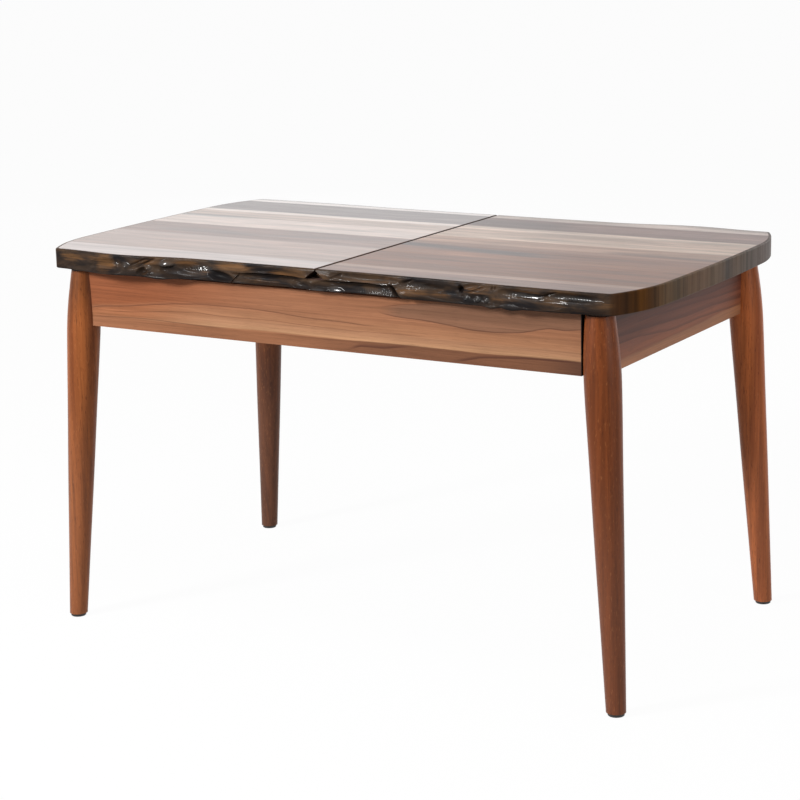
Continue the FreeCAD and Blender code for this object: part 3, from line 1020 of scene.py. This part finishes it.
def leaf_mesh():
    """Mesh of the loose leaf: its two live edges, joined at the bevelled ends."""
    levels, setback = cut_levels(leaf_low_level, leaf_top_level, leaf_low_round, leaf_top_round)
    lip = leaf_foot_x - (leaf_top_level - lip_height - leaf_low_level)
    reach = undercut(lip, levels, leaf_top_level)
    cast = (leaf_low_level + cast_margin, leaf_top_level - cast_margin)
    tree = cad_tree("leaf")
    rings, found = [], []
    for row in (-1, 1):
        run = []
        for share in span(-1, 1, live_step / lip):
            places = [(-row * share * x, row * half_depth) for x in reach]
            run.append((places, (0.0, float(row))))
        points = wall(tree, run, levels, *cast)
        found.append(carve_wall(points, run, setback, leaf_top_level))
        points[0, :, 0] = row * reach
        points[-1, :, 0] = -row * reach
        rings.append(points)
    points = np.concatenate(rings)
    attributes = {k: np.concatenate([f[k] for f in found]) for k in found[0]}
    slots = ([1] * (len(rings[0]) - 1) + [2]) * 2
    return ring_mesh("leaf", points, attributes, leaf_ring, top_finishes, slots)


for part, mesh in half_top().items():
    add_piece(mesh, part + "_right_carved", "right_half", part + "_right")
    other = {"rim_front": "rim_back", "rim_back": "rim_front"}.get(part, part)
    left = add_piece(mesh, other + "_left_carved", "left_half", other + "_left", turn=True)
    if part == "board":
        left.data.materials[0] = top_left_wood
add_piece(leaf_mesh(), "leaf_carved", "leaf", "leaf")


# Finishes of the plain solids

apron_ease = 1.0 * MM
block_ease = 0.8 * MM
rail_ease = 0.4 * MM
ease_segments = 3
ease_angle = math.radians(40)


def dress(name, material, ease=0.0):
    """Gives a solid its finish, with eased edges where its corners show."""
    solid = nodes[name]
    solid.data.materials.clear()
    solid.data.materials.append(material)
    if ease:
        weld = solid.modifiers.new("weld", "WELD")
        weld.merge_threshold = weld_distance
        bevel = solid.modifiers.new("ease", "BEVEL")
        bevel.width = ease
        bevel.segments = ease_segments
        bevel.limit_method = "ANGLE"
        bevel.angle_limit = ease_angle
        bevel.harden_normals = True


for name, apron_veneer in (("front", front_veneer), ("back", back_veneer)):
    dress("apron_" + name, apron_veneer, apron_ease)
    dress("rail_" + name, aluminium, rail_ease)
    for side in ("left", "right"):
        corner = name + "_" + side
        dress("leg_" + corner, leg_woods[corner])
        dress("glide_" + corner, glide_black)
        dress("bracket_" + corner, steel)
        dress("bolt_" + corner, steel)
        dress("nut_" + corner, steel)
        dress("runner_" + corner, nylon, rail_ease)
        dress("runner_block_" + corner, inner_wood_x, block_ease)
        dress("rest_pad_" + corner, felt)
for side in ("left", "right"):
    dress("apron_" + side, end_veneer, apron_ease)
    dress("leaf_bearer_" + side, inner_wood, block_ease)
dress("cross_brace", inner_wood, block_ease)


# Stage, light and camera

# Levels of the floor's colour and of the world, for the light on the object and where they are seen
floor_unseen, floor_seen = 0.42, 0.95
world_unseen, world_seen = 0.21, 1.0
# Share of plain white in the floor where it is seen; the rest keeps the object's shadow
floor_white = 0.965
floor_size = 30.0


def seen_rays(tree):
    """1 for what the camera sees directly, in gloss or through glass."""
    path = tree.nodes.new("ShaderNodeLightPath")
    total = path.outputs["Is Camera Ray"]
    for name in ("Is Glossy Ray", "Is Transmission Ray"):
        add = tree.nodes.new("ShaderNodeMath")
        add.operation = "MAXIMUM"
        tree.links.new(total, add.inputs[0])
        tree.links.new(path.outputs[name], add.inputs[1])
        total = add.outputs[0]
    return total


def seen_value(tree, unseen, seen):
    """One value for light that falls on the object, another where the background itself is seen."""
    level = tree.nodes.new("ShaderNodeMapRange")
    level.inputs["To Min"].default_value = unseen
    level.inputs["To Max"].default_value = seen
    tree.links.new(seen_rays(tree), level.inputs["Value"])
    return level.outputs["Result"]


floor_mesh = bpy.data.meshes.new("studio_floor")
floor_signs = ((-1, -1), (1, -1), (1, 1), (-1, 1))
floor_corners = [(x * floor_size, y * floor_size, 0) for x, y in floor_signs]
floor_mesh.from_pydata(floor_corners, [], [(0, 1, 2, 3)])
floor = bpy.data.objects.new("studio_floor", floor_mesh)
bpy.context.scene.collection.objects.link(floor)
paper = bpy.data.materials.new("studio_paper")
paper.use_nodes = True
tree = paper.node_tree
paper_bsdf = tree.nodes["Principled BSDF"]
paper_bsdf.inputs["Roughness"].default_value = 0.9
paper_bsdf.inputs["Specular IOR Level"].default_value = 0.0
pale = tree.nodes.new("ShaderNodeCombineColor")
for socket in pale.inputs[:3]:
    tree.links.new(seen_value(tree, floor_unseen, floor_seen), socket)
tree.links.new(pale.outputs[0], paper_bsdf.inputs["Base Color"])
glow = tree.nodes.new("ShaderNodeEmission")
glow.inputs["Strength"].default_value = 1.0
blend = tree.nodes.new("ShaderNodeMixShader")
tree.links.new(seen_value(tree, 0.0, floor_white), blend.inputs[0])
tree.links.new(paper_bsdf.outputs[0], blend.inputs[1])
tree.links.new(glow.outputs[0], blend.inputs[2])
tree.links.new(blend.outputs[0], tree.nodes["Material Output"].inputs["Surface"])
floor_mesh.materials.append(paper)

world = bpy.data.worlds.new("studio")
bpy.context.scene.world = world
world.use_nodes = True
tree = world.node_tree
sky = tree.nodes["Background"]
sky.inputs["Color"].default_value = (1, 1, 1, 1)
tree.links.new(seen_value(tree, world_unseen, world_seen), sky.inputs["Strength"])


# Soft lamps aimed at the middle of the table: name, place, size, power in watts
lamp_aim = Vector((0, 0, 0.6))
LAMPS = [
    ("key_front_left", (-2.2, -3.6, 2.4), 0.9, 194),
    ("fill_right", (3.6, -0.8, 1.5), 2.4, 38),
    ("top_front", (0.2, -0.9, 3.0), 0.8, 18),
    ("sheen_back_left", (-3.6, 4.6, 1.6), 3.0, 10),
    ("fill_back", (1.6, 4.2, 1.8), 3.0, 45),
]
for name, place, size, power in LAMPS:
    lamp = bpy.data.lights.new(name, "AREA")
    lamp.shape = "DISK"
    lamp.size = size
    lamp.energy = power
    stand = bpy.data.objects.new(name, lamp)
    stand.location = place
    stand.rotation_euler = (lamp_aim - Vector(place)).to_track_quat("-Z", "Y").to_euler()
    bpy.context.scene.collection.objects.link(stand)

# Camera: place, angles in degrees, focal length in pixels
camera_place = Vector((2.1539, -3.6635, 1.4403))
azimuth, elevation, roll = (math.radians(angle) for angle in (30.874, 13.343, -1.292))
focal_pixels = 2217
picture_pixels = 800
sensor_width = 36
flat = math.cos(elevation)
ahead = -Vector((math.sin(azimuth) * flat, -math.cos(azimuth) * flat, math.sin(elevation)))
right = ahead.cross(Vector((0, 0, 1))).normalized()
up = right.cross(ahead)
right, up = (math.cos(roll) * right + math.sin(roll) * up,
             -math.sin(roll) * right + math.cos(roll) * up)
lens = bpy.data.cameras.new("camera")
lens.sensor_width = sensor_width
lens.lens = sensor_width * focal_pixels / picture_pixels
camera = bpy.data.objects.new("camera", lens)
camera.matrix_world = Matrix((
    (right.x, up.x, -ahead.x, camera_place.x),
    (right.y, up.y, -ahead.y, camera_place.y),
    (right.z, up.z, -ahead.z, camera_place.z),
    (0, 0, 0, 1)))
bpy.context.scene.collection.objects.link(camera)
bpy.context.scene.camera = camera
bpy.context.scene.view_settings.view_transform = "Standard"
